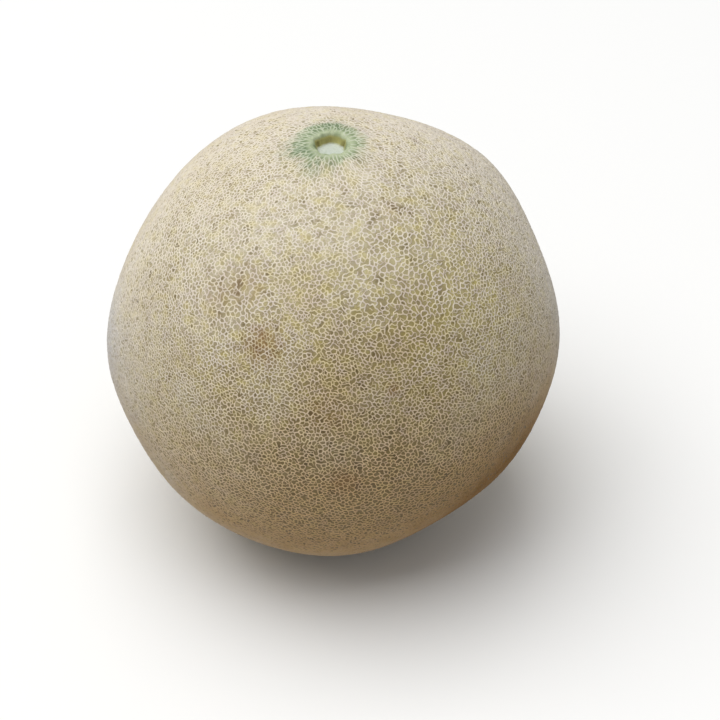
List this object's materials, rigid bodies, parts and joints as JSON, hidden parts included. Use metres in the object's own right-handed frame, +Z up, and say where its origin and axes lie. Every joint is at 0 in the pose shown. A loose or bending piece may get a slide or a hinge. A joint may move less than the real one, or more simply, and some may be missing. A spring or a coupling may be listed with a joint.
{
  "type": "cantaloupe melon",
  "caption": "Whole cantaloupe melon: a round fruit with a raised corky net all over, a sunken scar at the stem end and a small flat spot that it stands on.",
  "frame": {"origin": "on the ground plane of the small flat spot under the blossom end, below the middle of the fruit's outline seen from above", "axes": "+Z up through the stem end, -Y towards the side that the picture shows, +X to the right of that view"},
  "size_m": [0.1524, 0.1506, 0.1467],
  "materials": {
    "netted_rind": "matte"
  },
  "bodies": {
    "root": {"melon": "netted_rind"}
  },
  "joints": []
}
